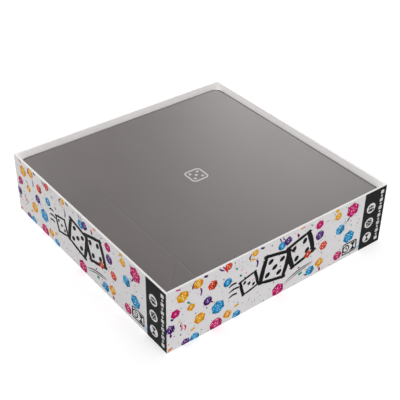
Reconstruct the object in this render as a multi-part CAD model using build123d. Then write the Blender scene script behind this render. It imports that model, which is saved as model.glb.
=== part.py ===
from build123d import *
import os

# Open base of a square board game box, with the folding dice tray it carries.
# Millimetres, +Z up, origin at the centre of the underside.
# Front is -Y, right is +X. Everything is made at the front and turned to the other sides.

# Box
box_length = 295.0          # outside, both ways
box_height = 77.0
paper = 0.25                # wrap and liner paper, with its glue
board = 1.7                 # greyboard
turn_in_depth = 18.0        # wrap folded down inside the rim
turn_under = 16.0           # wrap folded in under the bottom
label_margin = 0.8          # label kept back from the bottom edge
stay_thickness = 0.12       # gummed corner tape, pressed into the wrap
stay_leg = 20.0

# Card insert
card = 0.8
insert_gap = 0.7            # to the inside of the box, all round
well_width = 150.0

# Dice tray
rim_to_tray = 8.4           # tray surface below the rim
tray_gap = 1.0              # to the inside of the box, all round
tray_corner_radius = 10.0
fold_line = 104.0           # centre of the tray to each wall fold
fold_gap = 2.0              # panels stop short of every straight fold
diagonal_gap = 2.2          # gussets stop short of the corner crease
top_cover = 0.8
tray_board = 1.5
bottom_cover = 0.7
board_inset_fold = 0.6      # tray boards inside their covers, along the folds
board_inset_edge = 1.2      # and along the outer edge
magnet_diameter = 10.0
magnet_from_fold = 13.0
magnet_from_edge = 11.0

# Emblem, a plain die face
emblem_size = 22.0
emblem_corner = 5.0
emblem_line = 2.0
emblem_pip = 3.4
emblem_pip_offset = 5.0
emblem_thickness = 0.12

# Derived planes
half = box_length / 2
board_outside = half - paper
board_inside = board_outside - board
inner_face = board_inside - paper
flap_top = 2 * paper
bottom_board_top = flap_top + board
floor_top = bottom_board_top + paper
turn_in_end = box_height - turn_in_depth
insert_half = inner_face - insert_gap
tray_half = inner_face - tray_gap
tray_top = box_height - rim_to_tray
tray_board_top = tray_top - top_cover
tray_board_bottom = tray_board_top - tray_board
tray_bottom = tray_board_bottom - bottom_cover

sides = ("front", "right", "back", "left")
corners = ("front_left", "front_right", "back_right", "back_left")
layers = {
    "top_cover": (tray_board_top, tray_top),
    "bottom_cover": (tray_bottom, tray_board_bottom),
}


def save(shape, node):
    """Write one node."""
    export_step(shape, f"parts/{node}.step")


def plate(x_range, y_range, z_range):
    """A flat plate, from its lowest and highest x, y and z."""
    ranges = (x_range, y_range, z_range)
    size = [high - low for low, high in ranges]
    centre = [(high + low) / 2 for low, high in ranges]
    return Pos(*centre) * Box(*size)


def square(half_width, z_range):
    """A square plate centred on the origin."""
    return plate((-half_width, half_width), (-half_width, half_width), z_range)


def prism(points, z_range):
    """A polygon raised between two heights."""
    low, high = z_range
    face = make_face(Polyline(*points, close=True))
    return Pos(0, 0, low) * extrude(face, amount=high - low)


def turned(shape, side):
    """The front piece, turned to stand on another side."""
    return Rot(0, 0, 90 * sides.index(side)) * shape


def front_sector():
    """All that is nearer the front than the other sides, between the two corner mitres."""
    reach = box_length
    return prism(((0, 0), (-reach, -reach), (reach, -reach)), (-reach, reach))


def front_strip(y_range, z_range):
    """A strip along the front wall, mitred at both ends."""
    return plate((-half, half), y_range, z_range) & front_sector()


def wall_board():
    return front_strip((-board_outside, -board_inside), (flap_top, box_height - paper))


def wall_liner():
    return front_strip((-board_inside, -inner_face), (floor_top, turn_in_end))


def corner_stay():
    """Angle of tape round the outside of the front left corner of the boards."""
    outside = board_outside + stay_thickness
    z_range = (flap_top, box_height - paper)
    end = -outside + stay_leg
    along_front = plate((-outside, end), (-outside, -board_outside), z_range)
    along_left = plate((-outside, -board_outside), (-outside, end), z_range)
    return along_front + along_left


def corner_stays():
    return [Rot(0, 0, 90 * turn) * corner_stay() for turn in range(4)]


def wall_wrap():
    """Printed sheet: down the outside, in under the bottom, over the rim and down inside."""
    outside = front_strip((-half, -board_outside), (paper, box_height))
    over_rim = front_strip((-half, -inner_face), (box_height - paper, box_height))
    inside = front_strip((-board_inside, -inner_face), (turn_in_end, box_height))
    underneath = front_strip((-half, -half + turn_under), (paper, flap_top))
    sheet = outside + over_rim + inside + underneath
    first, second = corner_stays()[:2]
    return sheet - first - second


def bottom_label():
    """Sheet over the turned-under edges, filling the space they leave in the middle."""
    sheet = square(half - label_margin, (0, paper))
    middle = square(half - turn_under, (paper, flap_top))
    return sheet + middle


def card_insert():
    """One card folded into a deep well between two raised ledges, as the panels between its folds."""
    length = (-insert_half, insert_half)
    wall_z = (floor_top, tray_bottom)
    ledge_z = (tray_bottom - card, tray_bottom)
    well_half = well_width / 2
    well_inside = well_half - card
    leg_inside = insert_half - card
    panels = [plate((-well_inside, well_inside), length, (floor_top, floor_top + card))]
    for mirrored in (1, -1):
        for inner, outer, z_range in (
            (well_inside, well_half, wall_z),
            (well_half, leg_inside, ledge_z),
            (leg_inside, insert_half, wall_z),
        ):
            x_range = sorted((mirrored * inner, mirrored * outer))
            panels.append(plate(x_range, length, z_range))
    return Compound(children=panels)


def tray_wall_panel(fold_inset, edge_inset, z_range):
    """Front wall of the tray as it lies flat."""
    end = fold_line - fold_gap - fold_inset
    near = fold_line + fold_gap + fold_inset
    return plate((-end, end), (-tray_half + edge_inset, -near), z_range)


def tray_outline(z_range):
    low, high = z_range
    face = RectangleRounded(2 * tray_half, 2 * tray_half, tray_corner_radius)
    return Pos(0, 0, low) * extrude(face, amount=high - low)


def gusset_leaf(z_range):
    """Triangle beyond the left end of the front wall, on its own side of the corner crease."""
    start = fold_line + fold_gap
    crease_shift = diagonal_gap * 2 ** 0.5
    triangle = (
        (-start, -start - crease_shift),
        (-start, -tray_half - 1),
        (-tray_half - 1 + crease_shift, -tray_half - 1),
    )
    return prism(triangle, z_range) & tray_outline(z_range)


def gusset_magnet():
    centre_x = -(fold_line + magnet_from_fold)
    centre_y = -(tray_half - magnet_from_edge)
    centre_z = (tray_board_top + tray_board_bottom) / 2
    return Pos(centre_x, centre_y, centre_z) * Cylinder(magnet_diameter / 2, tray_board)


def tray_emblem():
    """Die face: a square ring and five pips."""
    outer = RectangleRounded(emblem_size, emblem_size, emblem_corner)
    inner_size = emblem_size - 2 * emblem_line
    inner = RectangleRounded(inner_size, inner_size, emblem_corner - emblem_line)
    face = outer - inner
    spots = [(0, 0)]
    for x in (-emblem_pip_offset, emblem_pip_offset):
        for y in (-emblem_pip_offset, emblem_pip_offset):
            spots.append((x, y))
    pips = [Pos(x, y) * Circle(emblem_pip / 2) for x, y in spots]
    pieces = [extrude(shape, amount=emblem_thickness) for shape in [face] + pips]
    return Pos(0, 0, tray_top) * Compound(children=pieces)


def write_box():
    for side in sides:
        save(turned(wall_board(), side), f"{side}_board")
        save(turned(wall_wrap(), side), f"{side}_wrap")
        save(turned(wall_liner(), side), f"{side}_liner")
    save(square(board_inside, (flap_top, bottom_board_top)), "bottom_board")
    save(square(board_inside, (bottom_board_top, floor_top)), "floor_liner")
    save(bottom_label(), "bottom_label")
    save(Compound(children=corner_stays()), "corner_stays")
    save(card_insert(), "card_insert")


def write_tray():
    board_z = (tray_board_bottom, tray_board_top)
    base_half = fold_line - fold_gap
    save(square(base_half - board_inset_fold, board_z), "tray_base_board")
    for layer, z_range in layers.items():
        save(square(base_half, z_range), f"tray_base_{layer}")
    save(tray_emblem(), "tray_emblem")
    wall_core = tray_wall_panel(board_inset_fold, board_inset_edge, board_z)
    for side in sides:
        save(turned(wall_core, side), f"tray_{side}_board")
        for layer, z_range in layers.items():
            panel = tray_wall_panel(0, 0, z_range)
            save(turned(panel, side), f"tray_{side}_{layer}")


def write_gussets():
    """Two gussets at each corner, one on each neighbouring wall."""
    for number, side in enumerate(sides):
        for at_left in (True, False):
            corner = corners[(number + (0 if at_left else 1)) % 4]
            name = f"{corner}_%s_on_{side}"
            pieces = {name % "magnet": gusset_magnet()}
            for layer, z_range in layers.items():
                pieces[(name % "gusset") + "_" + layer] = gusset_leaf(z_range)
            for node, piece in pieces.items():
                placed = piece if at_left else mirror(piece, about=Plane.YZ)
                save(turned(placed, side), node)


os.makedirs("parts", exist_ok=True)
write_box()
write_tray()
write_gussets()
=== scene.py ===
import random
from math import atan2, copysign, cos, hypot, pi, radians, sin, sqrt

import bmesh
import bpy
from mathutils import Matrix, Vector
from mathutils.geometry import delaunay_2d_cdt


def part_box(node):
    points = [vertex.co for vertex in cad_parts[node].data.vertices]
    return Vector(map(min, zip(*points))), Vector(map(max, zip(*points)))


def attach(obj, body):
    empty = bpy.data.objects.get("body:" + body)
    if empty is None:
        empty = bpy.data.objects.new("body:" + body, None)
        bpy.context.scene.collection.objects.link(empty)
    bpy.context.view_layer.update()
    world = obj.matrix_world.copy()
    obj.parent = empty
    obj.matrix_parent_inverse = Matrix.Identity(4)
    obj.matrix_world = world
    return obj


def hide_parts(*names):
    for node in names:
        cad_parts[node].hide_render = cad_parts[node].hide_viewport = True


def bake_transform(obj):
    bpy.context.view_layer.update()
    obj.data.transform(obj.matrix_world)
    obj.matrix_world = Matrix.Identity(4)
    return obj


# The looks of an open board game box with a folding dice tray: printed wraps, white paper, cloth and floor.
# Lengths in this script are millimetres, turned into metres as each mesh is made.

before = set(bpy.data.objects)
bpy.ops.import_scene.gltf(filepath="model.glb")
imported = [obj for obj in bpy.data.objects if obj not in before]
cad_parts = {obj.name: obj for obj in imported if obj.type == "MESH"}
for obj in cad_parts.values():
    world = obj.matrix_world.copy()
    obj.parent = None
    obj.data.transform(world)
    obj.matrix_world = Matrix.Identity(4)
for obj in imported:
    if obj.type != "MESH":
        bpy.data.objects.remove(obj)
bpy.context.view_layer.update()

MM = 0.001
QUARTER = pi / 2
SIDES = ("front", "right", "back", "left")
CORNERS = ("front_left", "front_right", "back_right", "back_left")


def node_box(node):
    """A CAD node's lowest and highest corners, in millimetres."""
    low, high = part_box(node)
    return Vector(low) / MM, Vector(high) / MM


# ---- Sizes read from the frame ----

wrap_low, wrap_high = node_box("front_wrap")
HALF = -wrap_low.y
HEIGHT = wrap_high.z
WRAP_BOTTOM = wrap_low.z
TURN_UNDER = wrap_high.y - wrap_low.y
liner_high = node_box("front_liner")[1]
INNER_FACE = -liner_high.y
TURN_IN_END = liner_high.z
PAPER = HALF + node_box("front_board")[0].y

base_low, base_high = node_box("tray_base_top_cover")
wall_low, wall_high = node_box("tray_front_top_cover")
TRAY_TOP = base_high.z
under_low, under_high = node_box("tray_base_bottom_cover")
TRAY_BOTTOM = under_low.z
BASE_HALF = base_high.x
WALL_NEAR = -wall_high.y
TRAY_HALF = -wall_low.y
FOLD = (BASE_HALF + WALL_NEAR) / 2
TOP_COVER = base_high.z - base_low.z
BOTTOM_COVER = under_high.z - under_low.z
CORNER_RADIUS = 10.0


# ---- Meshes ----

def turned(points, quarter_turns):
    """Points turned about the vertical axis, from the front to another side."""
    spin = Matrix.Rotation(radians(90 * quarter_turns), 3, "Z")
    return [spin @ Vector(p) for p in points]


def edges_of(outline):
    """The pairs of neighbouring points round a closed outline, a list."""
    return zip(outline, outline[1:] + outline[:1])


def area_of(outline):
    """A flat outline's area, negative if it runs clockwise."""
    return sum(a[0] * b[1] - b[0] * a[1] for a, b in edges_of(outline)) / 2


def rectangle(x_from, y_from, x_to, y_to):
    return [(x_from, y_from), (x_to, y_from), (x_to, y_to), (x_from, y_to)]


def tube_faces(levels, count):
    """The faces between rings, each with count points and one after another, and then its two ends."""
    faces = []
    for level in range(levels - 1):
        for k in range(count):
            a, b = level * count + k, level * count + (k + 1) % count
            faces.append([a, a + count, b + count, b])
    return faces + [list(range(count)), [(levels - 1) * count + k for k in reversed(range(count))]]


def make_piece(name, points, faces, materials, face_materials=None, smooth_angle=40):
    """A mesh object from points in millimetres."""
    mesh = bpy.data.meshes.new(name)
    mesh.from_pydata([Vector(p) * MM for p in points], [], faces)
    for material in materials:
        mesh.materials.append(material)
    if face_materials is not None:
        mesh.polygons.foreach_set("material_index", face_materials)
    tidy = bmesh.new()
    tidy.from_mesh(mesh)
    bmesh.ops.remove_doubles(tidy, verts=tidy.verts, dist=1e-7)
    bmesh.ops.dissolve_degenerate(tidy, edges=tidy.edges, dist=1e-8)
    bmesh.ops.recalc_face_normals(tidy, faces=tidy.faces)
    tidy.to_mesh(mesh)
    tidy.free()
    mesh.polygons.foreach_set("use_smooth", [True] * len(mesh.polygons))
    mesh.set_sharp_from_angle(angle=radians(smooth_angle))
    piece = bpy.data.objects.new(name, mesh)
    bpy.context.scene.collection.objects.link(piece)
    return piece


def paint(material, *nodes):
    """Gives CAD nodes that stay in view their finished material."""
    for node in nodes:
        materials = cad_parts[node].data.materials
        materials.clear()
        materials.append(material)


# ---- Materials ----

def srgb(red, green, blue):
    """A colour from 0 to 255 numbers, as the linear colour a shader takes."""
    def linear(value):
        value /= 255
        return value / 12.92 if value <= 0.04045 else ((value + 0.055) / 1.055) ** 2.4
    return (linear(red), linear(green), linear(blue), 1.0)


def scaled(colour, factor):
    return tuple(min(1.0, part * factor) for part in colour[:3]) + (1.0,)


class Look:
    """A material with one Principled shader, and short calls for the nodes that feed it."""

    def __init__(self, name):
        self.material = bpy.data.materials.new(name)
        self.material.use_nodes = True
        self.tree = self.material.node_tree
        self.shader = self.tree.nodes["Principled BSDF"]
        coordinates = self.tree.nodes.new("ShaderNodeTexCoord")
        self.place = coordinates.outputs["Object"]

    def node(self, kind, inputs=None, **settings):
        made = self.tree.nodes.new(kind)
        for key, value in settings.items():
            setattr(made, key, value)
        for key, value in (inputs or {}).items():
            self.fill(made.inputs[key], value)
        return made

    def fill(self, socket, value):
        """Links a socket to another node's output, or sets its number or colour."""
        if isinstance(value, bpy.types.NodeSocket):
            self.tree.links.new(value, socket)
        else:
            socket.default_value = value

    def stretched(self, x, y, z):
        """The surface's place, scaled apart along each axis."""
        return self.node("ShaderNodeMapping", {"Vector": self.place, "Scale": (x, y, z)}).outputs[0]

    def noise(self, size_mm, detail=2.0, roughness=0.5, place=None):
        """Noise from 0 to 1 whose blotches are about size_mm across."""
        inputs = {"Vector": place or self.place, "Scale": 1 / (size_mm * MM),
                  "Detail": detail, "Roughness": roughness}
        return self.node("ShaderNodeTexNoise", inputs).outputs["Fac"]

    def spread(self, value, low, high, to_low=0.0, to_high=1.0):
        """Value from low to high, mapped to to_low and to_high and held there."""
        inputs = {"Value": value, "From Min": low, "From Max": high, "To Min": to_low, "To Max": to_high}
        return self.node("ShaderNodeMapRange", inputs, clamp=True).outputs["Result"]

    def maths(self, operation, first, second):
        return self.node("ShaderNodeMath", {0: first, 1: second}, operation=operation).outputs[0]

    def plus(self, first, second):
        return self.maths("ADD", first, second)

    def times(self, first, second):
        return self.maths("MULTIPLY", first, second)

    def mix(self, share, first, second):
        made = self.node("ShaderNodeMix", data_type="RGBA")
        for key, value in (("Factor", share), ("A", first), ("B", second)):
            self.fill(next(s for s in made.inputs if s.name == key and s.enabled), value)
        return next(s for s in made.outputs if s.name == "Result" and s.enabled)

    def flecks(self, under, colour, size_mm, low, high, share, **noise):
        """Flecks of a colour over another, where a noise is over low, as strong as share from high up."""
        return self.mix(self.spread(self.noise(size_mm, **noise), low, high, 0.0, share), under, colour)

    def bump(self, height, depth_mm, under=None):
        """A bumped normal from a height of 0 to 1, depth_mm deep."""
        inputs = {"Height": height, "Distance": depth_mm * MM}
        if under is not None:
            inputs["Normal"] = under
        return self.node("ShaderNodeBump", inputs).outputs["Normal"]

    def feed(self, colour, roughness, normal=None, **others):
        """Sets the shader's inputs, with _ in the other ones' names for a space."""
        sockets = dict(others, Base_Color=colour, Roughness=roughness)
        if normal is not None:
            sockets["Normal"] = normal
        for key, value in sockets.items():
            self.fill(self.shader.inputs[key.replace("_", " ")], value)
        return self.material


def edge_wear(look):
    """How scuffed the print is: 1 in short worn patches along the rim and the upright corners."""
    parts = look.node("ShaderNodeSeparateXYZ", {"Vector": look.place}).outputs
    across = look.maths("ABSOLUTE", parts[0], 0.0)
    along = look.maths("ABSOLUTE", parts[1], 0.0)
    corner = look.maths("MINIMUM", across, along)
    reach = 0.9 * MM
    at_corner = look.spread(corner, HALF * MM - reach, HALF * MM)
    at_rim = look.spread(parts[2], HEIGHT * MM - reach, HEIGHT * MM)
    near = look.maths("MAXIMUM", at_corner, at_rim)
    patches = look.spread(look.noise(7.0, detail=6.0, roughness=0.7), 0.52, 0.66)
    return look.times(near, patches)


def printed(name, ink):
    """Satin-laminated print: a little uneven in ink, with paper tooth under the film and scuffed edges."""
    look = Look(name)
    mottle = look.noise(11.0, detail=4.0)
    inked = look.mix(mottle, scaled(ink, 0.955), scaled(ink, 1.045))
    inked = look.flecks(inked, srgb(236, 232, 226), 0.35, 0.5, 0.8, 0.012, detail=3.0)
    worn = look.times(edge_wear(look), 0.55)
    colour = look.mix(worn, inked, srgb(222, 219, 213))
    rough = look.spread(look.noise(4.0, detail=3.0), 0.3, 0.7, 0.40, 0.50)
    rough = look.plus(rough, look.times(worn, 0.35))
    tooth = look.bump(look.noise(0.55), 0.012)
    boil = look.bump(look.noise(14.0, detail=1.0), 0.10, under=tooth)
    return look.feed(colour, rough, boil, Specular_IOR_Level=0.03)


def plain_paper(name, tone, warm_tone, rough=0.72):
    """Uncoated white paper pasted over board: faint cockling, fibres and dust."""
    look = Look(name)
    cloud = look.noise(18.0, detail=4.0)
    colour = look.mix(cloud, tone, warm_tone)
    fibre = look.noise(0.3, detail=3.0, place=look.stretched(1.0, 1.0, 0.35))
    colour = look.mix(look.spread(fibre, 0.55, 0.75, 0.0, 0.10), colour, scaled(tone, 0.8))
    tooth = look.bump(fibre, 0.02)
    cockle = look.bump(look.noise(9.0), 0.12, under=tooth)
    roughness = look.spread(look.noise(5.0), 0.3, 0.7, rough - 0.05, rough + 0.05)
    return look.feed(colour, roughness, cockle)


def greyboard():
    """Recycled board: mixed grey pulp with dark and light flecks."""
    look = Look("greyboard")
    cloud = look.noise(3.5, detail=6.0, roughness=0.7)
    pulp = look.mix(cloud, srgb(150, 144, 136), srgb(176, 170, 161))
    pulp = look.flecks(pulp, srgb(96, 90, 84), 0.9, 0.64, 0.70, 0.6)
    pulp = look.flecks(pulp, srgb(205, 200, 190), 1.3, 0.66, 0.72, 0.5)
    grain = look.bump(look.noise(0.5, detail=4.0, roughness=0.7), 0.05)
    return look.feed(pulp, 0.93, grain)


def gummed_tape():
    """Brown kraft tape with its fibres along the strip."""
    look = Look("gummed_tape")
    fibre = look.noise(0.5, detail=5.0, roughness=0.7, place=look.stretched(1.0, 1.0, 0.12))
    colour = look.mix(fibre, srgb(146, 108, 70), srgb(190, 152, 108))
    return look.feed(colour, 0.8, look.bump(fibre, 0.03))


def insert_card():
    """White-faced folding card with a soft grey cast and a light calendered grain."""
    look = Look("insert_card")
    cloud = look.noise(25.0, detail=3.0)
    colour = look.mix(cloud, srgb(214, 213, 210), srgb(226, 225, 222))
    colour = look.flecks(colour, srgb(170, 167, 160), 1.1, 0.66, 0.74, 0.25, detail=3.0)
    grain = look.bump(look.noise(0.6, detail=3.0), 0.02)
    return look.feed(colour, 0.62, grain)


def card_core():
    """The cut edge of the card, with its grey pulp core."""
    look = Look("card_core")
    layers = look.noise(0.4, detail=4.0, place=look.stretched(0.3, 0.3, 2.0))
    colour = look.mix(layers, srgb(150, 146, 140), srgb(186, 182, 175))
    return look.feed(colour, 0.9, look.bump(layers, 0.05))


def painted_edge_shade(look):
    """1 in a narrow line along the tray's outer edge, where the cloth's colour is darkened as painted shade.
    """
    fades_from, full_from = 2.7, 1.5
    straight = (TRAY_HALF - CORNER_RADIUS) * MM
    out = look.place
    for operation, amount in (("ABSOLUTE", (0, 0, 0)), ("SUBTRACT", (straight, straight, 0)),
                              ("MAXIMUM", (0, 0, 0)), ("MULTIPLY", (1, 1, 0))):
        out = look.node("ShaderNodeVectorMath", {0: out, 1: amount}, operation=operation).outputs[0]
    reach = look.node("ShaderNodeVectorMath", {0: out}, operation="LENGTH").outputs["Value"]
    return look.spread(reach, (CORNER_RADIUS - fades_from) * MM, (CORNER_RADIUS - full_from) * MM)


def nap_cloth(name, dark, light, sheen, rough):
    """Brushed microfibre: a very fine nap, lighter and darker where it has been stroked, with painted shade
    that darkens it along the tray's outer edge, where it is also rougher."""
    look = Look(name)
    nap = look.noise(0.42, detail=4.0, roughness=0.65)
    stroked = look.noise(38.0, detail=3.0, roughness=0.45, place=look.stretched(1.0, 0.55, 1.0))
    blend = look.plus(look.times(nap, 0.55), look.times(stroked, 0.45))
    colour = look.mix(look.spread(blend, 0.36, 0.64), dark, light)
    # pressed is the mask of the painted shade along the tray's outer edge; it also makes the cloth rougher
    # there.
    pressed = painted_edge_shade(look)
    # Painted shade: the cloth darkened along its outer edge, standing in for the shadow where the tray meets
    # the box's walls.
    colour = look.mix(look.times(pressed, 0.75), colour, scaled(dark, 0.2))
    pile = look.bump(nap, 0.035)
    soft = look.bump(look.noise(30.0, detail=1.0), 0.02, under=pile)
    roughness = look.spread(stroked, 0.35, 0.65, rough - 0.012, rough + 0.012)
    roughness = look.plus(roughness, look.times(pressed, 0.3))
    return look.feed(colour, roughness, soft, Sheen_Weight=sheen, Sheen_Roughness=0.45)


def emblem_print():
    """Pale rubbery transfer print on the cloth, picking up its nap."""
    look = Look("emblem_print")
    nap = look.noise(0.42, detail=4.0, roughness=0.65)
    colour = look.mix(look.spread(nap, 0.4, 0.75), srgb(172, 168, 167), srgb(150, 146, 145))
    return look.feed(colour, 0.5, look.bump(nap, 0.02))


def nickel():
    """Plated magnet, with faint turning marks and handling scratches."""
    look = Look("nickel")
    scratch = look.noise(0.25, detail=4.0, place=look.stretched(1.0, 0.1, 1.0))
    colour = look.mix(scratch, srgb(176, 172, 166), srgb(200, 197, 192))
    rough = look.spread(scratch, 0.3, 0.7, 0.18, 0.36)
    return look.feed(colour, rough, look.bump(scratch, 0.004), Metallic=1.0)


# ---- Print: inks ----

INKS = {
    "sheet": srgb(248, 245, 244),
    "rim": srgb(219, 217, 217),
    "paper": srgb(199, 197, 198),
    "black": srgb(13, 13, 13),
    "band": srgb(22, 23, 25),
    "white": srgb(238, 236, 236),
}
BASE_INKS = {
    "yellow": srgb(202, 152, 0),
    "orange": srgb(200, 104, 0),
    "red": srgb(188, 48, 0),
    "magenta": srgb(176, 0, 94),
    "purple": srgb(70, 6, 104),
    "blue": srgb(0, 130, 178),
    "teal": srgb(0, 126, 106),
}
TONES = {"edge": 0.30, "light": 0.04, "mid": -0.06, "dark": -0.5}


def toned(colour, amount):
    """A lighter ink, towards white, or a darker one, towards black."""
    target = 1.0 if amount > 0 else 0.0
    return tuple(part + (target - part) * abs(amount) for part in colour[:3]) + (1.0,)


for ink_name, ink_colour in BASE_INKS.items():
    for tone_name, lighter in TONES.items():
        INKS[f"{ink_name}_{tone_name}"] = toned(ink_colour, lighter)


# ---- Print: drawing ----
# Drawn in millimetres on one side of the box as seen from outside: u to the right from its left
# end and v down from the rim. Each shape covers what was drawn before it.

drawing = []


def draw(ink, points):
    drawing.append((ink, points))


def around(centre, size, tilt, points):
    """Unit points, +y up, scaled to a size across, tilted anticlockwise and moved to a centre."""
    c, s = cos(radians(tilt)), sin(radians(tilt))
    u, v = centre
    return [(u + size / 2 * (x * c - y * s), v - size / 2 * (x * s + y * c)) for x, y in points]


def ring_points(count, radius=1.0):
    """Points spread round a circle, from the top."""
    angles = [radians(90 + 360 * step / count) for step in range(count)]
    return [(radius * cos(a), radius * sin(a)) for a in angles]


def disc(ink, centre, diameter):
    draw(ink, around(centre, diameter, 0, ring_points(max(10, int(diameter * 2) + 8))))


def cube_facets():
    h = ring_points(6)
    c = (0, 0)
    return [("light", [c, h[5], h[0], h[1]]), ("mid", [c, h[1], h[2], h[3]]),
            ("dark", [c, h[3], h[4], h[5]])]


def eight_facets():
    h = ring_points(6)
    return [("light", [h[0], h[2], h[4]]), ("mid", [h[0], h[1], h[2]]),
            ("dark", [h[2], h[3], h[4]]), ("mid", [h[4], h[5], h[0]])]


def ten_facets():
    top, foot = (0, 1), (0, -1)
    right_up, right_down, left_down, left_up = (0.88, 0.3), (0.88, -0.26), (-0.88, -0.26), (-0.88, 0.3)
    right, low, left = (0.52, -0.14), (0, -0.44), (-0.52, -0.14)
    return [("light", [top, left, low, right]), ("mid", [top, right, right_down, right_up]),
            ("dark", [top, left_up, left_down, left]), ("dark", [right, low, foot, right_down]),
            ("mid", [left, left_down, foot, low])]


def twelve_facets():
    outer, inner = ring_points(10), ring_points(5, radius=0.6)
    tones = ("mid", "dark", "mid", "dark", "light")
    facets = [("light", inner)]
    for k, tone in enumerate(tones):
        rim = [outer[(2 * k + step) % 10] for step in range(3)]
        facets.append((tone, [inner[k]] + rim + [inner[(k + 1) % 5]]))
    return facets


def twenty_facets():
    h, t = ring_points(6), ring_points(3, radius=0.6)
    facets = [("light", t)]
    for k in range(3):
        before, here, after = h[2 * k - 1], h[2 * k], h[2 * k + 1]
        facets.append(("mid", [t[k], after, t[(k + 1) % 3]]))
        facets.append(("dark", [t[k], here, after]))
        facets.append(("mid" if k else "light", [t[k], before, here]))
    return facets


DICE = {6: cube_facets, 8: eight_facets, 10: ten_facets, 12: twelve_facets, 20: twenty_facets}
# How large, in millimetres, a facet is that has one pip, two or three.
PIPS_FROM = (3.6, 5.0, 6.4)


def centre_of(points):
    return tuple(sum(p[k] for p in points) / len(points) for k in (0, 1))


def inner_edges(facets):
    """The straight edges that two facets share."""
    seen, shared = set(), []
    for _, facet in facets:
        for a, b in edges_of(facet):
            key = tuple(sorted(((round(a[0], 4), round(a[1], 4)), (round(b[0], 4), round(b[1], 4)))))
            if key in seen:
                shared.append((a, b))
            seen.add(key)
    return shared


def pips_on(facet, number):
    """Where a facet's pips are: spread about its middle, more of them on a bigger facet."""
    cx, cy = centre_of(facet)
    if number == 1:
        return [(cx, cy)]
    first = atan2(facet[0][1] - cy, facet[0][0] - cx)
    reach = 0.42 * min(hypot(x - cx, y - cy) for x, y in facet)
    return [(cx + reach * cos(first + 2 * pi * k / number),
             cy + reach * sin(first + 2 * pi * k / number)) for k in range(number)]


def die(kind, colour, centre, size, tilt):
    """A die of a number of faces, with thin dark lines along its edges and white pips."""
    facets = DICE[kind]()
    deep = "orange" if colour == "yellow" else colour
    for tone, facet in facets:
        name = f"{deep}_mid" if tone == "dark" and colour == "yellow" else f"{colour}_{tone}"
        draw(name, around(centre, size, tilt, facet))
    line = 0.18 / size
    for (ax, ay), (bx, by) in inner_edges(facets):
        length = hypot(bx - ax, by - ay)
        nx, ny = (ay - by) / length * line, (bx - ax) / length * line
        quad = [(ax + nx, ay + ny), (bx + nx, by + ny), (bx - nx, by - ny), (ax - nx, ay - ny)]
        draw(f"{deep}_dark", around(centre, size, tilt, quad))
    for tone, facet in facets:
        spread_mm = sqrt(abs(area_of(facet))) * size / 2
        number = sum(spread_mm >= enough for enough in PIPS_FROM)
        pip = min(0.48, 0.11 * spread_mm) * 2 / size
        for x, y in pips_on(facet, number) if number else ():
            ink = "white" if tone != "dark" else f"{colour}_edge"
            draw(ink, around(centre, size, tilt, [(x + pip * i, y + pip * j) for i, j in ring_points(7)]))


def smooth_path(points):
    """Points on a curve through the given ones."""
    def between(p, q, r, s, t):
        square, cube = 2 * p - 5 * q + 4 * r - s, 3 * q - p - 3 * r + s
        return 0.5 * (2 * q + (r - p) * t + square * t * t + cube * t ** 3)

    count = 7
    ends = [points[0]] + list(points) + [points[-1]]
    path = []
    for stretch in zip(ends, ends[1:], ends[2:], ends[3:]):
        for step in range(count):
            path.append(tuple(between(*values, step / count) for values in zip(*stretch)))
    return path + [tuple(points[-1])]


def brush(ink, points, width, start=1.0, end=1.0, wobble=0.0):
    """A brush stroke through points. start and end are its width there, as shares of the middle's."""
    taper = 0.35
    path = smooth_path(points)
    last = len(path) - 1
    sides = []
    for k, (u, v) in enumerate(path):
        before, after = path[max(k - 1, 0)], path[min(k + 1, last)]
        du, dv = after[0] - before[0], after[1] - before[1]
        length = hypot(du, dv) or 1.0
        thin, t = (start, k / last) if k < last / 2 else (end, 1 - k / last)
        share = thin + (1 - thin) * min(1.0, t / taper)
        reach = width * share * (1 + wobble * sin(5.3 * k + width)) / 2
        sides.append(((u - dv / length * reach, v + du / length * reach),
                      (u + dv / length * reach, v - du / length * reach)))
    for (a, b), (c, d) in zip(sides, sides[1:]):
        draw(ink, [a, c, d, b])


def brush_die(centre, side, tilt, line, number):
    """A die face in four brush strokes that cross at its corners, with its spots dabbed in."""
    half = side / 2
    for k in range(4):
        bow, over, width = (0.035, 0.5, 1.15) if k % 2 else (0.02, 0.8, 0.8)
        stroke = [(-half - line * over, half), (0, half + side * bow), (half + line * over, half)]
        stroke = around(centre, 2, tilt - 90 * k, stroke)
        brush("black", stroke, line * width, start=0.85, end=0.5, wobble=0.04)
    for x, y in SPOTS[number]:
        spot = around(centre, 2, tilt, [(x * side * 0.26, y * side * 0.26)])[0]
        dab = [(px * 1.15 + 0.15 * py, py * 0.9) for px, py in ring_points(18)]
        draw("black", around(spot, line * 1.2, tilt + 35, dab))


def confetti(ink, centre, length, width, tilt):
    """A scrap of paper: a narrow leaning four-sided shape."""
    high = width / length
    draw(ink, around(centre, length, tilt, [(-1, -0.6 * high), (0.8, -high), (1, 0.6 * high), (-0.8, high)]))


# ---- Print: the artwork on each side ----

BAND_START = 262.0
SPECKS = 400
# Where the spots of a die's face are, for each number.
SPOTS = {
    1: ((0, 0),),
    2: ((-1, 1), (1, -1)),
    3: ((-1, 1), (0, 0), (1, -1)),
    4: ((-1, 1), (1, 1), (-1, -1), (1, -1)),
    5: ((-1, 1), (1, 1), (0, 0), (-1, -1), (1, -1)),
    6: ((-1, 1), (-1, 0), (-1, -1), (1, 1), (1, 0), (1, -1)),
}
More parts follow.
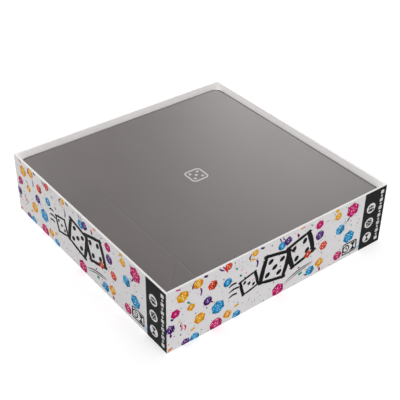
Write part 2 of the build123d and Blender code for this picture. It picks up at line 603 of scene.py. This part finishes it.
# faces, colour, centre u and v, size, tilt
DICE_ON_SIDE = (
    (20, "yellow", 19, 13.5, 15, 12), (12, "yellow", 37.5, 7, 12, 20), (6, "red", 55, 18, 12.5, 18),
    (8, "red", 74, 4.5, 10, 40), (12, "blue", 73.5, 24.5, 11, 5),
    (20, "magenta", 10.5, 30.5, 11.5, -20), (10, "yellow", 29, 32, 10.5, 8),
    (12, "purple", 49, 35, 11, 15), (6, "purple", 4.5, 47.5, 11.5, 8),
    (20, "yellow", 39.5, 52, 14.5, -15), (20, "blue", 62, 50, 17.5, 10),
    (10, "yellow", 74.5, 66.5, 12, 15), (12, "magenta", 60, 72, 16, 25),
    (8, "purple", 22.5, 74.5, 11, 20), (12, "blue", 33.5, 74, 11.5, 5),
    (6, "blue", 86.5, 73.5, 11.5, -10), (8, "yellow", 107.5, 4, 9, 25),
    (12, "blue", 143.5, 12.5, 11, 15), (10, "purple", 151.5, 10, 12, -8),
    (20, "magenta", 142, 70, 17, 5), (20, "magenta", 195.5, 9.5, 11.5, 8),
    (12, "purple", 197, 24, 12, 20), (10, "red", 181.5, 42, 10.5, 12), (8, "red", 204, 41, 12, 35),
    (8, "yellow", 222.5, 11, 10.5, 5), (20, "magenta", 244, 12, 19, -8), (6, "blue", 228, 31, 14, 6),
    (20, "blue", 243, 47.5, 17, -12), (12, "magenta", 228.5, 67, 12.5, 10),
    (10, "yellow", 200.5, 62.5, 13.5, -5), (6, "blue", 187.5, 67, 13, 20),
)
# ink, width, u and v of its points
RIBBONS = (
    ("purple_dark", 2.2, 34.5, 1.5, 31.5, 6, 31, 10.5),
    ("purple_mid", 2.0, 40, 13.5, 41.5, 18, 40.5, 23.5), ("purple_mid", 1.8, 62.5, 1.5, 65.5, 5, 69, 7),
    ("magenta_mid", 2.0, 67, 1, 71, 7, 73, 11), ("purple_dark", 1.9, 103.5, 3, 100.5, 7, 102, 10),
    ("yellow_mid", 2.2, 101, 10, 105, 11, 108.5, 12.5),
    ("purple_mid", 2.3, 109.5, 13.5, 111.5, 18, 110.5, 23.5),
    ("purple_mid", 1.6, 18, 45, 16.5, 49, 18, 52, 16.8, 56),
    ("orange_light", 1.4, 19.5, 49, 17.8, 52, 20, 55),
    ("magenta_mid", 1.8, 20.5, 50, 22.5, 53.5, 21.5, 57.5),
    ("purple_mid", 1.6, 139.5, 1.2, 141, 4, 142, 7), ("purple_light", 1.5, 144, 1, 145, 4.5, 147.5, 7),
    ("magenta_dark", 3.2, 164, 7, 165.5, 9.5, 166, 12),
    ("purple_dark", 2.2, 240.5, 20, 239, 22, 237.5, 24.5),
    ("magenta_dark", 3.0, 201, 69.5, 201.8, 72, 202, 74.5),
    ("purple_dark", 2.2, 179, 69, 181.5, 70, 184, 70.5), ("purple_mid", 2.6, 4.5, 53, 4.8, 56, 5, 58),
    ("purple_dark", 1.6, 53, 37, 54.5, 39, 55.5, 40),
)
# ink, centre u and v, length, width, tilt
SCRAPS = (
    ("magenta_mid", 14, 2.5, 6, 2.2, -8), ("purple_dark", 46.5, 2.6, 5, 3.4, -10),
    ("purple_dark", 117, 2.6, 5.5, 3, -12), ("teal_mid", 84.5, 12.5, 3.8, 2.4, -50),
    ("teal_dark", 90, 24, 4, 2.4, -55), ("teal_mid", 26, 24.5, 4.2, 2.6, -45),
    ("purple_dark", 6.5, 36, 4, 3, -30), ("yellow_mid", 15, 43.5, 4, 1.8, 20),
    ("yellow_mid", 31, 62, 5.5, 3.4, 25), ("yellow_mid", 86, 61, 6.5, 3.6, 20),
    ("orange_light", 4, 73.5, 6, 3.4, 30), ("orange_light", 171, 2.6, 6.5, 2.4, 12),
    ("purple_dark", 184, 5.2, 2.6, 1.8, 30), ("yellow_mid", 220, 3, 6, 4.5, 5),
    ("yellow_light", 216.5, 12.8, 3.4, 1.8, 15), ("black", 185.5, 36, 4, 2.6, 35),
    ("teal_mid", 173, 64, 5.5, 4.2, 25), ("blue_edge", 260, 70, 4.5, 6, 10),
    ("teal_mid", 187, 47.5, 2.4, 1.2, 10), ("magenta_dark", 170, 54.5, 3, 2.6, 40),
    ("teal_dark", 16.5, 61, 2.6, 1.8, -60), ("purple_light", 34.5, 43, 2, 1.4, 60),
    ("magenta_mid", 118.5, 43.5, 2, 1.6, -20), ("purple_dark", 48, 43.5, 2.2, 1.8, -30),
)


def scatter_specks():
    """Tiny specks between the dice, in a fixed random order."""
    chance = random.Random(11)
    inks = ("magenta_mid", "purple_mid", "blue_mid", "teal_mid", "orange_mid", "purple_dark", "teal_dark",
            "magenta_edge", "blue_edge")
    for _ in range(SPECKS):
        centre = (chance.uniform(2, BAND_START - 3), chance.uniform(1.5, HEIGHT - 1.5))
        length = chance.choice((0.8, 1.0, 1.2, 1.5, 2.0))
        ink, narrow, tilt = chance.choice(inks), chance.uniform(0.45, 0.9), chance.uniform(0, 180)
        confetti(ink, centre, length, length * narrow, tilt)


def draw_title_ornament():
    """Two big dice and a small one in black brushwork, with flicks behind them and a double line below."""
    for v, reach in ((31, 10), (38, 13.5), (45, 11)):
        brush("black", ((75, v + 1.5), (75 + reach / 2, v - 0.6), (75 + reach, v)), 2.5, start=0.25, end=0.9)
    brush_die((101.5, 40), 19, 14, 3.4, 3)
    brush_die((135.5, 36), 31, -13, 5.4, 5)
    brush_die((170.5, 30.5), 29, 17, 5.4, 4)
    brush("black", ((150.5, 66), (163, 60), (177, 56.5), (190, 55.5)), 1.6, start=0.3, end=0.35)
    brush("black", ((153, 67.5), (166, 62), (180, 58.5), (189, 57.6)), 1.2, start=0.3, end=0.3)


def draw_clock_plate():
    """Rounded plate with a clock face and a sand glass, for playing time."""
    centre, width, height, corner, line = (246.5, 64), 22.0, 15.6, 2.6, 1.7
    middles = [(x * (width / 2 - corner), y * (height / 2 - corner))
               for x, y in ((1, 1), (-1, 1), (-1, -1), (1, -1))]
    for ink, radius in (("black", corner), ("paper", corner - line)):
        points = []
        for quarter, (x, y) in enumerate(middles):
            angles = [QUARTER * (quarter + step / 4) for step in range(5)]
            points += [(x + radius * cos(a), y + radius * sin(a)) for a in angles]
        draw(ink, around(centre, 2, 0, points))
    face = (241.3, 64)
    disc("black", face, 10.4)
    disc("paper", face, 7.2)
    brush("black", (face, (241.3, 61.1)), 1.4)
    brush("black", (face, (243.4, 65.0)), 1.4)
    draw_sand_glass((251.8, 64), 10.2)


def draw_sand_glass(centre, size):
    draw("black", around(centre, size, 0, ((-0.72, 1), (0.72, 1), (0.08, 0), (-0.08, 0))))
    draw("black", around(centre, size, 0, ((-0.08, 0), (0.08, 0), (0.72, -1), (-0.72, -1))))
    for end in (-1, 1):
        draw("black", around(centre, size, 0, rectangle(-0.85, end * 0.86, 0.85, end * 1.08)))


def draw_pip_face(face_ink, pip_ink, centre, size, tilt, count):
    """A small square die face with one to six pips."""
    cut = 0.72
    corners = ((1, cut), (cut, 1), (-cut, 1), (-1, cut), (-1, -cut), (-cut, -1), (cut, -1), (1, -cut))
    draw(face_ink, around(centre, size, tilt, corners))
    for x, y in SPOTS[count]:
        disc(pip_ink, around(centre, size, tilt, ((x * 0.5, y * 0.5),))[0], size * 0.21)


def draw_black_band():
    """Black end band: three round pictograms and a column of small die faces."""
    sheet_end = 2 * HALF + 1
    draw("band", rectangle(BAND_START, -1, sheet_end, HEIGHT + 30))
    disc_u, disc_size = 273.8, 13.2
    player, dice, time = (disc_u, 22.8), (disc_u, 42.8), (disc_u, 62.8)
    for centre in (player, dice, time):
        disc("paper", centre, disc_size)
    for side, scale in ((-2.6, 0.8), (2.6, 0.8), (0, 1.0)):
        head = (player[0] + side, player[1] - 2.1 * scale)
        for ink, grow in (("paper", 0.7), ("black", 0.0)):
            disc(ink, head, 3.4 * scale + grow)
            bust = ((-1, -1), (1, -1), (0.86, 0.1), (0.42, 0.62), (-0.42, 0.62), (-0.86, 0.1))
            middle = (head[0], head[1] + 4.1 * scale)
            draw(ink, around(middle, 5.2 * scale + grow, 0, [(x, y * 0.9) for x, y in bust]))
    draw_pip_face("black", "paper", dice, 8.2, 15, 5)
    draw_sand_glass(time, 8.4)
    column_u, count = 288.8, 13
    first, pitch = 7.0, (HEIGHT - 14.0) / (count - 1)
    for k in range(count):
        centre = (column_u, first + pitch * k)
        if k % 2:
            draw("paper", around(centre, 3.4, 0, ring_points(4)))
        else:
            draw_pip_face("paper", "black", centre, 4.6, 0, k // 2 % 6 + 1)


def draw_side():
    scatter_specks()
    for ink, width, *places in RIBBONS:
        brush(ink, list(zip(places[::2], places[1::2])), width, start=0.4, end=0.6)
    for ink, u, v, length, width, tilt in SCRAPS:
        confetti(ink, (u, v), length, width, tilt)
    draw_title_ornament()
    for kind, colour, u, v, size, tilt in DICE_ON_SIDE:
        die(kind, colour, (u, v), size, tilt)
    draw_clock_plate()
    draw_black_band()


# ---- Wraps ----
# A wrap is laid out flat: x along the side and s up the sheet, where s is the height above the
# table on the outer face, less than that under the bottom and more over the rim and down inside.

BEND = 0.33     # radius of the paper's bends
SUPPORT = 0.35  # how far from a bend the flat part starts
FLAT_LOW = WRAP_BOTTOM + BEND
FLAT_HIGH = HEIGHT - BEND
BEND_OUT = HALF - BEND
BEND_IN = INNER_FACE + BEND
RIM_START = FLAT_HIGH + QUARTER * BEND
RIM_END = RIM_START + BEND_OUT - BEND_IN
INSIDE_START = RIM_END + QUARTER * BEND
INSIDE_END = INSIDE_START + FLAT_HIGH - TURN_IN_END
UNDER_START = FLAT_LOW - QUARTER * BEND
UNDER_END = UNDER_START - (TURN_UNDER - BEND)


def wrap_profile(s, depth=0.0):
    """How far out from the box's middle, and how high, a point at s is, at a depth inside the paper."""
    radius = BEND - depth
    if s < UNDER_START:
        return BEND_OUT - (UNDER_START - s), WRAP_BOTTOM + depth
    if s < FLAT_LOW:
        angle = (FLAT_LOW - s) / BEND
        return BEND_OUT + radius * cos(angle), FLAT_LOW - radius * sin(angle)
    if s <= FLAT_HIGH:
        return HALF - depth, s
    if s < RIM_START:
        angle = (s - FLAT_HIGH) / BEND
        return BEND_OUT + radius * cos(angle), FLAT_HIGH + radius * sin(angle)
    if s < RIM_END:
        return BEND_OUT - (s - RIM_START), HEIGHT - depth
    if s < INSIDE_START:
        angle = (s - RIM_END) / BEND
        return BEND_IN - radius * sin(angle), FLAT_HIGH + radius * cos(angle)
    return INNER_FACE + depth, FLAT_HIGH - (s - INSIDE_START)


def wrap_place(x, s, depth=0.0):
    """Where a point of the flat sheet lies on the front of the box, at a depth inside the paper."""
    out, height = wrap_profile(s, depth)
    beyond = abs(x) - BEND_OUT
    if out <= BEND_OUT or beyond <= 0:
        limit = min(abs(x), out) if out <= BEND_OUT else abs(x)
        return (copysign(limit, x), -out, height)
    angle = radians(45) * min(1.0, beyond / BEND)
    radius = out - BEND_OUT
    return (copysign(BEND_OUT + radius * sin(angle), x), -BEND_OUT - radius * cos(angle), height)


def steps(start, end, count):
    return [start + (end - start) * k / count for k in range(count + 1)]


def sheet_outline():
    """The flat sheet's right edge, from bottom to top, as (x, s)."""
    return [(wrap_profile(UNDER_END)[0], UNDER_END), (BEND_OUT, UNDER_START), (HALF, UNDER_START),
            (HALF, RIM_START), (BEND_OUT, RIM_START), (INNER_FACE, INSIDE_START), (INNER_FACE, INSIDE_END)]


def sheet_triangles():
    """The flat printed sheet cut into triangles along the drawing's edges: points, triangles, inks."""
    right = sheet_outline()
    outline = right + [(-x, s) for x, s in reversed(right)]
    shapes = [("paper", outline)]
    shapes += [(ink, [(u - HALF, HEIGHT - v) for u, v in points]) for ink, points in drawing]
    points, faces = [], []
    for _, shape in shapes:
        shape = shape if area_of(shape) > 0 else shape[::-1]
        faces.append(list(range(len(points), len(points) + len(shape))))
        points += [Vector(p) for p in shape]
    rows = steps(UNDER_START, FLAT_LOW, 3) + steps(FLAT_HIGH, RIM_START, 4)
    rows += steps(RIM_END, INSIDE_START, 3)
    rows += [UNDER_START - SUPPORT, FLAT_LOW + SUPPORT, FLAT_HIGH - SUPPORT, INSIDE_START + SUPPORT]
    rows += [RIM_START + SUPPORT, RIM_END - SUPPORT]
    columns = steps(BEND_OUT, HALF, 4)[:-1] + [BEND_OUT - SUPPORT]
    past = 2
    edges = [((-HALF - past, s), (HALF + past, s)) for s in rows]
    edges += [((column, UNDER_END - past), (column, INSIDE_END + past))
              for x in columns for column in (-x, x)]
    edge_ids = [(len(points) + 2 * k, len(points) + 2 * k + 1) for k in range(len(edges))]
    points += [Vector(end) for edge in edges for end in edge]
    corners, _, triangles, _, _, owners = delaunay_2d_cdt(points, edge_ids, faces, 0, 1e-5)
    kept, inks = [], []
    names = list(INKS)
    for triangle, owner in zip(triangles, owners):
        if 0 not in owner:
            continue
        middle = sum(corners[i][1] for i in triangle) / 3
        if UNDER_START < middle < FLAT_HIGH:
            ink = shapes[max(owner)][0]
        else:
            ink = "rim" if FLAT_HIGH < middle < RIM_END else "sheet"
        kept.append(triangle)
        inks.append(names.index(ink))
    return corners, kept, inks


def folded_sheet():
    """The sheet folded round the front wall, as thick as its paper: points, faces, inks."""
    corners, triangles, inks = sheet_triangles()
    count = len(corners)
    points = [wrap_place(x, s) for x, s in corners] + [wrap_place(x, s, PAPER) for x, s in corners]
    pasted = [[i + count for i in reversed(triangle)] for triangle in triangles]
    once = {}
    for triangle in triangles:
        for start, end in edges_of(triangle):
            if once.pop((end, start), None) is None:
                once[(start, end)] = True
    cut_edges = [[end, start, start + count, end + count] for start, end in once]
    plain = [list(INKS).index("sheet")] * (len(pasted) + len(cut_edges))
    return points, triangles + pasted + cut_edges, inks + plain


def make_wraps():
    draw_side()
    materials = [printed(f"print_{name}", colour) for name, colour in INKS.items()]
    points, faces, inks = folded_sheet()
    for number, side in enumerate(SIDES):
        piece = make_piece(f"{side}_printed_wrap", turned(points, number), faces, materials, inks)
        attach(piece, "box")
        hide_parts(f"{side}_wrap")


# ---- Tray panels ----

CLOTHS = {
    "top_cover": nap_cloth("tray_cloth", srgb(79, 72, 71), srgb(86, 79, 78), sheen=0.0, rough=0.47),
    "bottom_cover": nap_cloth("backing_cloth", srgb(40, 40, 42), srgb(58, 57, 59), sheen=0.15, rough=0.75),
}

MIDDLE = (TRAY_TOP + TRAY_BOTTOM) / 2
EDGE_ROUND = 1.1    # radius of the rolled edge
SKIRT = 1.15        # how far a cover's edge is turned in round its board
CREASE_EASE = 1.7   # how wide the slope down to a crease is
CREASE_SUPPORTS = (2.2, 1.3)  # where the crease has more points before the rim
ROUND_STEPS = 5
ARC_STEPS = 6


def offset_corner(before, here, after, shift_before, shift_here):
    """Where two edges meet once each has moved inwards by its own shift. The outline runs anticlockwise."""
    first = (Vector(here) - Vector(before)).normalized()
    second = (Vector(after) - Vector(here)).normalized()
    first_in = Vector((-first.y, first.x))
    second_in = Vector((-second.y, second.x))
    cross = first.x * second.y - first.y * second.x
    start = Vector(here) + first_in * shift_before
    if abs(cross) < 1e-6:
        return start
    other = Vector(here) + second_in * shift_here
    gap = other - start
    along = (gap.x * second.y - gap.y * second.x) / cross
    return start + first * along


def inset_outline(outline, styles, shifts):
    """The outline with each edge moved inwards by its style's shift."""
    count = len(outline)
    return [offset_corner(outline[k - 1], outline[k], outline[(k + 1) % count],
                          shifts[styles[k - 1]], shifts[styles[k]]) for k in range(count)]


def panel_rings(outline, styles, crease_depth, cover):
    """Rings of a cloth cover, from its middle seam over its edge to its flat face, then its inner side.

    An edge's style is fold, where the cloth goes on; rim, rolled over the board; or crease, eased
    down a little. Each ring is a shift inwards and a drop below the face for each style."""
    def by_style(rim, crease):
        return {"fold": 0, "rim": rim, "crease": crease}

    depth_below = TRAY_TOP - MIDDLE
    plan = [(by_style(0, 0), by_style(depth_below, depth_below))]
    for share in steps(0, 1, ROUND_STEPS):
        inward = by_style(EDGE_ROUND * (1 - cos(QUARTER * share)), CREASE_EASE * share)
        drop = by_style(EDGE_ROUND * (1 - sin(QUARTER * share)), crease_depth / 2 * (1 + cos(pi * share)))
        plan.append((inward, drop))
    plan.append((by_style(EDGE_ROUND + SUPPORT, CREASE_EASE + SUPPORT), by_style(0, 0)))
    rings = []
    for inward, drop in plan:
        ring = inset_outline(outline, styles, inward)
        rings.append([(p[0], p[1], max(drop[styles[k - 1]], drop[styles[k]])) for k, p in enumerate(ring)])
    inner = inset_outline(outline, styles, by_style(SKIRT, SKIRT))
    seam = [(p[0], p[1], cover if styles[k - 1] == styles[k] == "fold" else depth_below)
            for k, p in enumerate(inner)]
    under = [(p[0], p[1], cover) for p in inner]
    return rings[::-1] + [seam, under]


def cover_mesh(outline, styles, crease_depth, cover):
    """Points, with depth below the face for z, and faces of one closed cloth cover."""
    layers = panel_rings(outline, styles, crease_depth, cover)
    count = len(outline)
    points = [p for layer in layers for p in layer]
    return points, tube_faces(len(layers), count)


def base_outline():
    return rectangle(-BASE_HALF, -BASE_HALF, BASE_HALF, BASE_HALF), ["fold"] * 4


def wall_outline():
    """The front wall."""
    outline = rectangle(-BASE_HALF, -TRAY_HALF, BASE_HALF, -WALL_NEAR)
    return outline, ["rim", "fold", "fold", "fold"]


def gusset_outline():
    """The gusset beyond the front wall's left end, up to the crease that halves the corner."""
    centre = CORNER_RADIUS - TRAY_HALF
    arc = [(centre + CORNER_RADIUS * cos(angle), centre + CORNER_RADIUS * sin(angle))
           for angle in steps(radians(225), radians(270), ARC_STEPS)]
    near_rim = [(arc[0][0] + gap, arc[0][1] + gap) for gap in CREASE_SUPPORTS]
    outline = [(-WALL_NEAR, -WALL_NEAR)] + near_rim + arc + [(-WALL_NEAR, -TRAY_HALF)]
    return outline, ["crease"] * 3 + ["rim"] * (ARC_STEPS + 1) + ["fold"]


def add_panel(panel, body, shape, crease_depth, layer, place):
    """One cloth cover of a panel, above or below its board."""
    outline, styles = shape
    on_top = layer == "top_cover"
    cover = TOP_COVER if on_top else BOTTOM_COVER
    points, faces = cover_mesh(outline, styles, crease_depth, cover)
    sign, level = (-1, TRAY_TOP) if on_top else (1, TRAY_BOTTOM)
    points = place([(x, y, level + sign * depth) for x, y, depth in points])
    node = f"{panel}_{layer}"
    piece = make_piece(f"{node}_cloth", points, faces, [CLOTHS[layer]], smooth_angle=50)
    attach(piece, body)
    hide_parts(node)


def corner_places():
    """Each gusset's corner, wall and how to bring it there from the front wall's left end."""
    def placing(number, sign):
        return lambda points: turned([(sign * x, y, z) for x, y, z in points], number)

    return [(CORNERS[(number + mirrored) % 4], side, placing(number, -1 if mirrored else 1))
            for number, side in enumerate(SIDES) for mirrored in (False, True)]


LAYERS = ("top_cover", "bottom_cover")
# How deep the cloth is pressed along the creases and the folds.
CREASE_DEPTHS = {"front_left": 0.085, "front_right": 0.003, "back_right": 0.003, "back_left": 0.003}
FOLD_DEPTHS = {"front": 0.012, "right": 0.008, "back": 0.008, "left": 0.155}
CORNER_FOLD_DEPTH = 0.003


def make_tray(hinges):
    """The covers of every panel. The hinges it is given are not used."""
    for layer in LAYERS:
        add_panel("tray_base", "tray_base", base_outline(), 0, layer, lambda p: turned(p, 0))
        for number, side in enumerate(SIDES):
            add_panel(f"tray_{side}", f"tray_{side}_wall", wall_outline(), 0, layer,
                      lambda p: turned(p, number))
        for corner, side, place in corner_places():
            gusset = f"{corner}_gusset_on_{side}"
            add_panel(gusset, gusset, gusset_outline(), CREASE_DEPTHS[corner], layer, place)


def fold_share(y):
    """How deep a fold is pressed at y: most in the middle, less in front and a trace at the back."""
    shallow_from, deep_from, least = -100.0, -15.0, 0.4
    ease = min(1.0, max(least, (y - shallow_from) / (deep_from - shallow_from)))
    fades_out, full_until, trace = 150.0, -100.0, 0.1
    fade = min(1.0, max(0.0, (fades_out - y) / (fades_out - full_until)))
    waver = 1 + 0.16 * sin(0.11 * y) + 0.09 * sin(0.29 * y)
    return ease * (trace + (1 - trace) * fade * fade * (3 - 2 * fade)) * waver


def hinge_strip(length_from, length_to, depth_top, depth_under, rim_end):
    """Cloth across the left fold: a bar along y, grooved above and below.

    rim_end says whether its lower y end is rolled over, as the tray's edge is."""
    width_steps, longest_piece = 8, 8.5
    if rim_end:
        stations = [(length_to, 0.0), (length_from + EDGE_ROUND + SUPPORT, 0.0)]
        stations += [(length_from + EDGE_ROUND * (1 - cos(a)), EDGE_ROUND * (1 - sin(a)))
                     for a in steps(QUARTER, 0, ROUND_STEPS)]
    else:
        pieces = max(1, round((length_to - length_from) / longest_piece))
        stations = [(y, 0.0) for y in steps(length_to, length_from, pieces)]
    points = []
    ring = 2 * (width_steps + 1)
    for y, drop in stations:
        pressed = fold_share(y)
        for upper in (True, False):
            order = range(width_steps + 1) if upper else reversed(range(width_steps + 1))
            for k in order:
                share = k / width_steps
                groove = 0.5 * (1 - cos(2 * pi * share))
                depth = drop + groove * (depth_top * pressed if upper else depth_under)
                z = TRAY_TOP - depth if upper else TRAY_BOTTOM + depth
                points.append((-BASE_HALF - (WALL_NEAR - BASE_HALF) * share, y, z))
    faces = tube_faces(len(stations), ring)
    marks = [0 if face[0] % ring < width_steps else 1 for face in faces[:-2]] + [0, 0]
    return points, faces, marks


def make_hinges():
    """Cloth hinges between the base and each wall, and between each wall and its gussets."""
    made = []

    def add_hinge(name, strip, place, span):
        """A strip brought to its place. span is where its turn starts and ends, as (x, y); these ends are
        brought to the place too, then not used.
        """
        points, faces, marks = strip
        piece = make_piece(name, place(points), faces, [CLOTHS[layer] for layer in LAYERS], marks)
        start, end = place([(x, y, TRAY_TOP) for x, y in span])
        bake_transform(piece)
        made.append(piece)

    for number, side in enumerate(SIDES):
        strip = hinge_strip(-BASE_HALF, BASE_HALF, FOLD_DEPTHS[side], 0.5, False)
        add_hinge(f"tray_{side}_hinge_cloth", strip,
                  lambda points: turned([(-y, x, z) for x, y, z in points], number),
                  ((-BASE_HALF, 0), (-WALL_NEAR, 0)))
    for corner, side, place in corner_places():
        depth = FOLD_DEPTHS["left"] if (corner, side) == ("front_left", "front") else CORNER_FOLD_DEPTH
        strip = hinge_strip(-TRAY_HALF, -WALL_NEAR, depth, 0.3, True)
        add_hinge(f"{corner}_hinge_cloth_on_{side}", strip, place,
                  ((-BASE_HALF, -FOLD), (-WALL_NEAR, -FOLD)))
    for number, (corner, side) in enumerate(zip(CORNERS, SIDES)):
        depth = FOLD_DEPTHS["left"] if corner == "front_left" else CORNER_FOLD_DEPTH
        strip = hinge_strip(-WALL_NEAR, -BASE_HALF, depth, 0.3, False)
        add_hinge(f"{corner}_hinge_cloth", strip, lambda points: turned(points, number),
                  ((-FOLD, -BASE_HALF), (-FOLD, -WALL_NEAR)))
    return made


# ---- Insert ----

def rounded_path(points, radius):
    """A path of straight runs with its corners rounded."""
    arc_steps = 5
    path = [Vector(points[0])]
    for before, here, after in zip(points, points[1:], points[2:]):
        here = Vector(here)
        to_before = (Vector(before) - here).normalized()
        to_after = (Vector(after) - here).normalized()
        centre = here + (to_before + to_after) * radius
        for k in range(arc_steps + 1):
            turn = QUARTER * k / arc_steps
            path.append(centre - to_after * radius * cos(turn) - to_before * radius * sin(turn))
    path.append(Vector(points[-1]))
    return path


def thick_strip(path, thickness):
    """The two sides of a path with a thickness."""
    left, right = [], []
    for k, here in enumerate(path):
        before, after = path[max(k - 1, 0)], path[min(k + 1, len(path) - 1)]
        along = (after - before).normalized()
        across = Vector((-along.y, along.x)) * thickness / 2
        left.append(here + across)
        right.append(here - across)
    return left, right


CARD = 0.8             # the card's thickness
WELL_HALF = 75.0       # half of the well's width, to the card's far side
CARD_FOLD_RADIUS = 1.6


def make_insert(card, core):
    """One card folded into a well between two ledges, the same all along y."""
    low, high = node_box("card_insert")
    well, leg = WELL_HALF - CARD / 2, high.x - CARD / 2
    floor, ledge = low.z + CARD / 2, high.z - CARD / 2
    half = [(-leg, low.z), (-leg, ledge), (-well, ledge), (-well, floor)]
    corners = half + [(-x, z) for x, z in reversed(half)]
    left, right = thick_strip(rounded_path(corners, CARD_FOLD_RADIUS), CARD)
    ring, along = left + right[::-1], len(left)
    count = len(ring)
    points = [(p.x, y, p.y) for y in (low.y, high.y) for p in ring]
    faces = tube_faces(2, count)[:-2]
    marks = [int(k in (along - 1, count - 1)) for k in range(count)]
    for k in range(along - 1):
        for first in (0, count):
            faces.append([first + i for i in (k, count - 1 - k, count - 2 - k, k + 1)])
            marks.append(1)
    piece = make_piece("folded_card_insert", points, faces, [card, core], marks, smooth_angle=30)
    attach(piece, "insert")
    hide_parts("card_insert")


# ---- Stage ----

def make_floor():
    look = Look("floor")
    cloud = look.noise(400.0)
    look.feed(look.mix(cloud, srgb(246, 246, 246), srgb(250, 250, 250)), 0.9)
    side = 4000.0
    corners = [(x, y, 0) for x, y in rectangle(-side, -side, side, side)]
    floor = make_piece("studio_floor", corners, [[0, 1, 2, 3]], [look.material])


# The glow, the watts and the arc's directions come from a least-squares fit that another program made to
# the tones of the tray, the inside walls, the print and the floor in the photo. Here they are rounded,
# and the left fill is lowered.
GLOW = 0.571  # strength of the light from all round
# Name, place and size in metres, and watts.
FRONT_LIGHTS = (
    ("key_softbox", (-0.9, -1.0, 1.3), (1.1, 1.1), 5.8),
    ("left_fill", (-1.6, 0.2, 0.6), (1.2, 0.8), 3.4),
    ("front_fill", (0.2, -1.6, 0.6), (1.2, 0.8), 6.7),
)
# Softboxes on an arc behind and to the right of the box: degrees from +X, degrees up and watts.
BACK_ARC = ((-20, 36, 0.4), (20, 36, 1.3), (40, 24, 3.55), (60, 24, 0.3), (80, 14, 0.8), (100, 24, 4.65))
ARC_REACH = 1.05


def add_light(name, place, size, power, shadows=True):
    data = bpy.data.lights.new(name, "AREA")
    data.shape = "RECTANGLE"
    data.size, data.size_y = size
    data.energy = power
    data.use_shadow = shadows
    data.cycles.use_multiple_importance_sampling = shadows
    light = bpy.data.objects.new(name, data)
    light.location = place
    tray = Vector((0, 0, TRAY_TOP * MM))
    light.rotation_euler = (tray - Vector(place)).to_track_quat("-Z", "Y").to_euler()
    bpy.context.scene.collection.objects.link(light)


def make_lights():
    """A key and two fills in front, and a shadowless glow from behind that grades the tray's cloth."""
    world = bpy.data.worlds.new("studio")
    world.use_nodes = True
    glow = world.node_tree.nodes["Background"].inputs
    glow["Color"].default_value = (1, 1, 1, 1)
    glow["Strength"].default_value = GLOW
    bpy.context.scene.world = world
    for name, place, size, power in FRONT_LIGHTS:
        add_light(name, place, size, power)
    for number, (azimuth, elevation, power) in enumerate(BACK_ARC):
        turn, lift = radians(azimuth), radians(elevation)
        place = Vector((cos(lift) * cos(turn), cos(lift) * sin(turn), sin(lift)))
        place = place * ARC_REACH + Vector((0, 0, TRAY_TOP * MM))
        add_light(f"back_softbox_{number}", place, (0.45, 0.45), power, shadows=False)


def make_camera():
    """Looks down on the front left corner from close by, as a product shot does. Its place is to its own
    right, up and back from the middle of the box's foot. Another program solved its angles, place and
    lens from the box's corners and edges in the photo."""
    azimuth, elevation, roll = radians(-37.99), radians(35.78), radians(0.772)
    place = Vector((4.816, 27.779, 996.8)) * MM
    turn = Matrix.Rotation(azimuth, 4, "Z") @ Matrix.Rotation(QUARTER - elevation, 4, "X")
    turn = turn @ Matrix.Rotation(roll, 4, "Z")
    data = bpy.data.cameras.new("camera")
    data.lens = 77.44
    data.sensor_width = 36.0
    camera = bpy.data.objects.new("camera", data)
    camera.matrix_world = turn @ Matrix.Translation(place)
    bpy.context.scene.collection.objects.link(camera)
    bpy.context.scene.camera = camera


# ---- Everything together ----

make_camera()
make_wraps()

paint(plain_paper("liner_paper", srgb(244, 242, 241), srgb(248, 246, 244)),
      "floor_liner", *(f"{side}_liner" for side in SIDES))
paint(greyboard(), "bottom_board", "tray_base_board", *(f"{side}_board" for side in SIDES),
      *(f"tray_{side}_board" for side in SIDES))
paint(gummed_tape(), "corner_stays")
paint(plain_paper("bottom_paper", srgb(226, 224, 222), srgb(232, 230, 228), rough=0.5), "bottom_label")

make_tray(make_hinges())
paint(emblem_print(), "tray_emblem")
paint(nickel(), *(f"{corner}_magnet_on_{side}" for corner, side, _ in corner_places()))
make_insert(insert_card(), card_core())

make_floor()
make_lights()
bpy.context.scene.view_settings.view_transform = "Standard"
